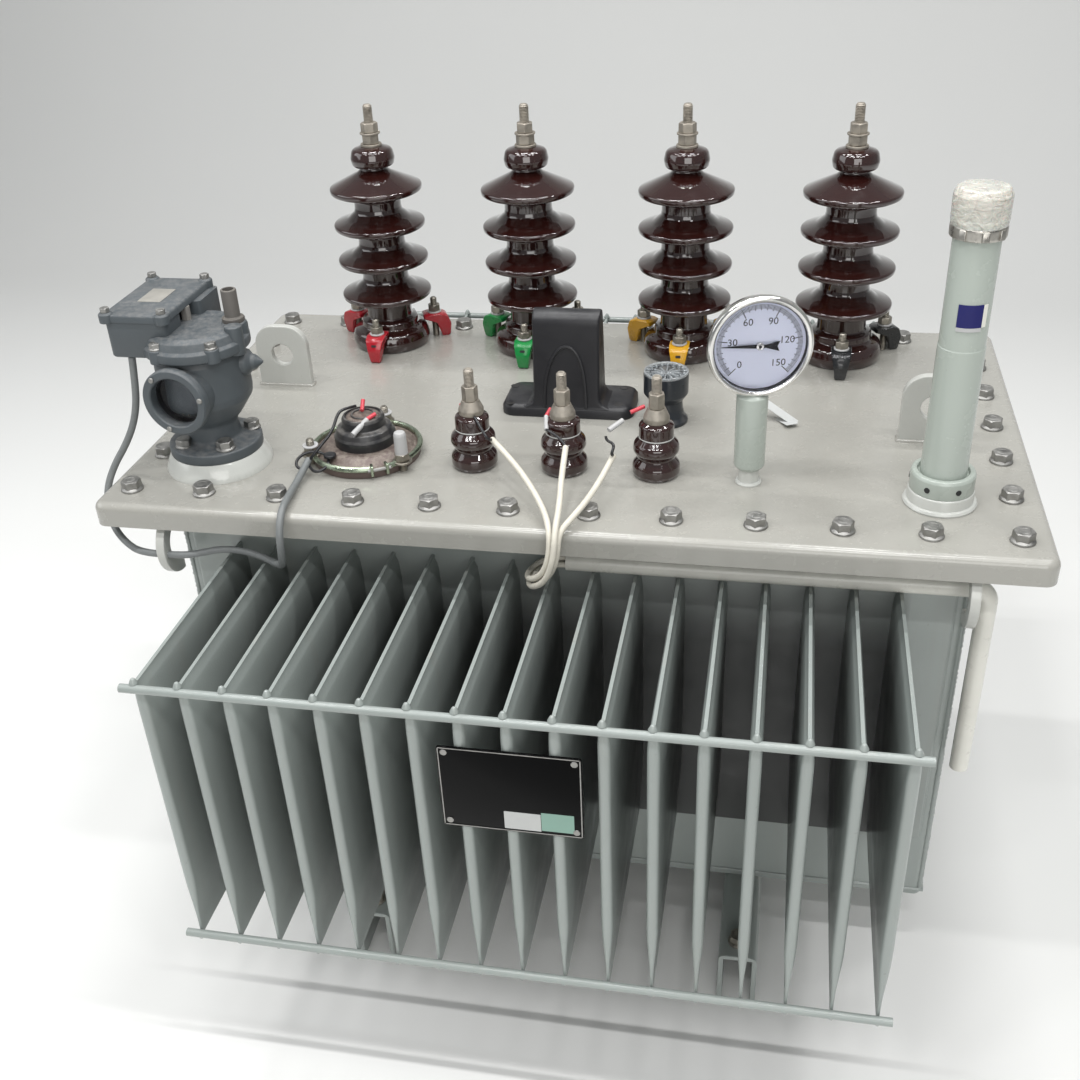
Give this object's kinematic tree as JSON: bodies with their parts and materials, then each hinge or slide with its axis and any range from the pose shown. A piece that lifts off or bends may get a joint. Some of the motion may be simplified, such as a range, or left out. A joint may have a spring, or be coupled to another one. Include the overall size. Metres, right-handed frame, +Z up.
{
  "type": "oil-filled distribution transformer",
  "caption": "Three-phase oil-filled distribution transformer: corrugated-wall tank on channel feet, bolted cover with porcelain bushings, relay, dial thermometer and oil gauge.",
  "frame": {"origin": "on the floor under the centre of the cover", "axes": "+X along the bushing rows, to the right when facing the nameplate; +Y to the rear, where the high-voltage bushings stand; +Z up"},
  "size_m": [1.0213, 1.0026, 0.93],
  "materials": {
    "tank_paint": "grey-green gloss enamel",
    "cover_paint": "pale grey-green gloss enamel",
    "hook_paint": "pale enamel",
    "gasket": "matte",
    "porcelain": "dark brown glaze",
    "zinc_steel": "dull zinc plating",
    "clamp_red": "enamelled clamp",
    "clamp_green": "enamelled clamp",
    "clamp_yellow": "enamelled clamp",
    "clamp_black": "enamelled clamp",
    "relay_paint": "blue-grey hammered enamel",
    "relay_glass": "clear",
    "stub_paint": "white enamel",
    "valve_brass": "dull plating",
    "device_cast": "aged casting",
    "device_ring": "passivated",
    "device_black": "satin",
    "hood_plastic": "satin moulding",
    "tap_plastic": "satin moulding",
    "dial_chrome": "polished",
    "dial_glass": "clear",
    "gauge_paint": "pale green enamel",
    "gauge_blue": "deep blue",
    "gauge_cap": "clear film over pale plastic",
    "plate_black": "dark gloss",
    "conduit_white": "satin",
    "cable_grey": "satin sheath",
    "wire_white": "white sleeve"
  },
  "bodies": {
    "root": {"tank_floor": "tank_paint", "tank_shell": "tank_paint", "tank_flange": "tank_paint", "cover_gasket": "gasket", "cover_plate": "cover_paint", "foot_channel_left": "tank_paint", "foot_channel_right": "tank_paint", "fin_webs": "tank_paint", "front_fins": "tank_paint", "rear_fins": "tank_paint", "fin_bars": "tank_paint", "tank_hooks": "hook_paint", "cover_eyes": "cover_paint", "hv_bushing_1": "porcelain", "hv_clamps_1": "clamp_red", "hv_bushing_2": "porcelain", "hv_clamps_2": "clamp_green", "hv_bushing_3": "porcelain", "hv_clamps_3": "clamp_yellow", "hv_bushing_4": "porcelain", "hv_clamps_4": "clamp_black", "hv_terminals": "zinc_steel", "lv_bushing_1": "porcelain", "lv_bushing_2": "porcelain", "lv_bushing_3": "porcelain", "lv_terminals": "zinc_steel", "relay_stub": "stub_paint", "relay_body": "relay_paint", "relay_head": "relay_paint", "relay_lid": "relay_paint", "relay_valve": "valve_brass", "relay_sight_ring": "relay_paint", "relay_sight_glass": "relay_glass", "device_flange": "device_cast", "device_clamp_ring": "device_ring", "device_hub": "device_black", "terminal_hood": "hood_plastic", "tap_base": "tap_plastic", "tap_cap": "tap_plastic", "thermometer_stem": "gauge_paint", "thermometer_case": "dial_chrome", "thermometer_glass": "dial_glass", "gauge_stub": "stub_paint", "gauge_tube": "gauge_paint", "gauge_window": "gauge_blue", "gauge_cap": "gauge_cap", "nameplate": "plate_black", "conduit_pipe": "conduit_white", "relay_cable": "cable_grey", "device_cable": "cable_grey", "lv_wire_1": "wire_white", "lv_wire_2": "wire_white", "lv_wire_3": "wire_white"}
  },
  "joints": []
}
